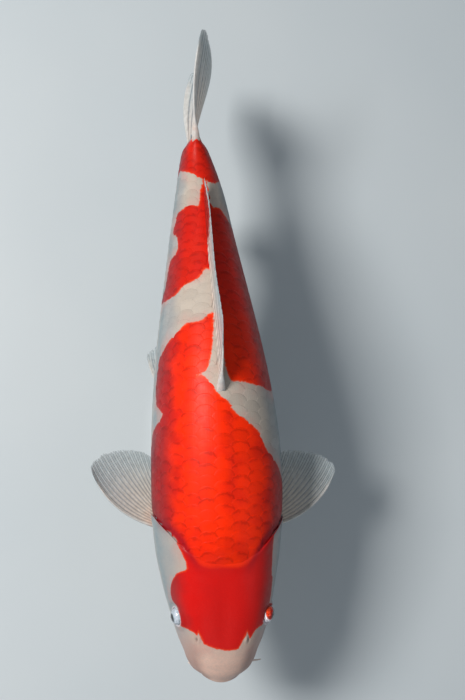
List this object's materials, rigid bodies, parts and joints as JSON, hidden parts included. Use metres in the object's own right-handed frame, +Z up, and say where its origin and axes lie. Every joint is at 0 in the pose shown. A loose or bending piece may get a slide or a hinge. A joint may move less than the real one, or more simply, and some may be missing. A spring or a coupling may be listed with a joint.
{
  "type": "koi carp model",
  "caption": "Life-size koi carp swimming level with its fins spread, held over an oval display base by rods.",
  "frame": {"origin": "centre of the stand's flat underside, on the floor below the middle of the trunk", "axes": "+Z up, -Y towards the fish's snout, +X towards the fish's left side"},
  "size_m": [0.25, 0.6442, 0.2612],
  "materials": {
    "skin": "wet, smooth, scaled",
    "scales": "wet gloss, thin overlapping plates",
    "fin": "thin wet web over fine rays",
    "eye": "clear gloss over a pale ring and dark pupil",
    "stand": "satin"
  },
  "bodies": {
    "root": {"head": "skin", "lower_jaw": "skin", "gill_cover_left": "skin", "gill_cover_right": "skin", "trunk": "skin", "tail_stem": "skin", "barbel_lip_left": "skin", "barbel_lip_right": "skin", "barbel_corner_left": "skin", "barbel_corner_right": "skin", "dorsal_fin": "fin", "anal_fin": "fin", "tail_fin": "fin", "pectoral_fin_left": "fin", "pectoral_fin_right": "fin", "pelvic_fin_left": "fin", "pelvic_fin_right": "fin", "eye_left": "eye", "eye_right": "eye", "stand_base": "stand", "stand_rod_front": "stand", "stand_rod_rear": "stand"}
  },
  "joints": []
}
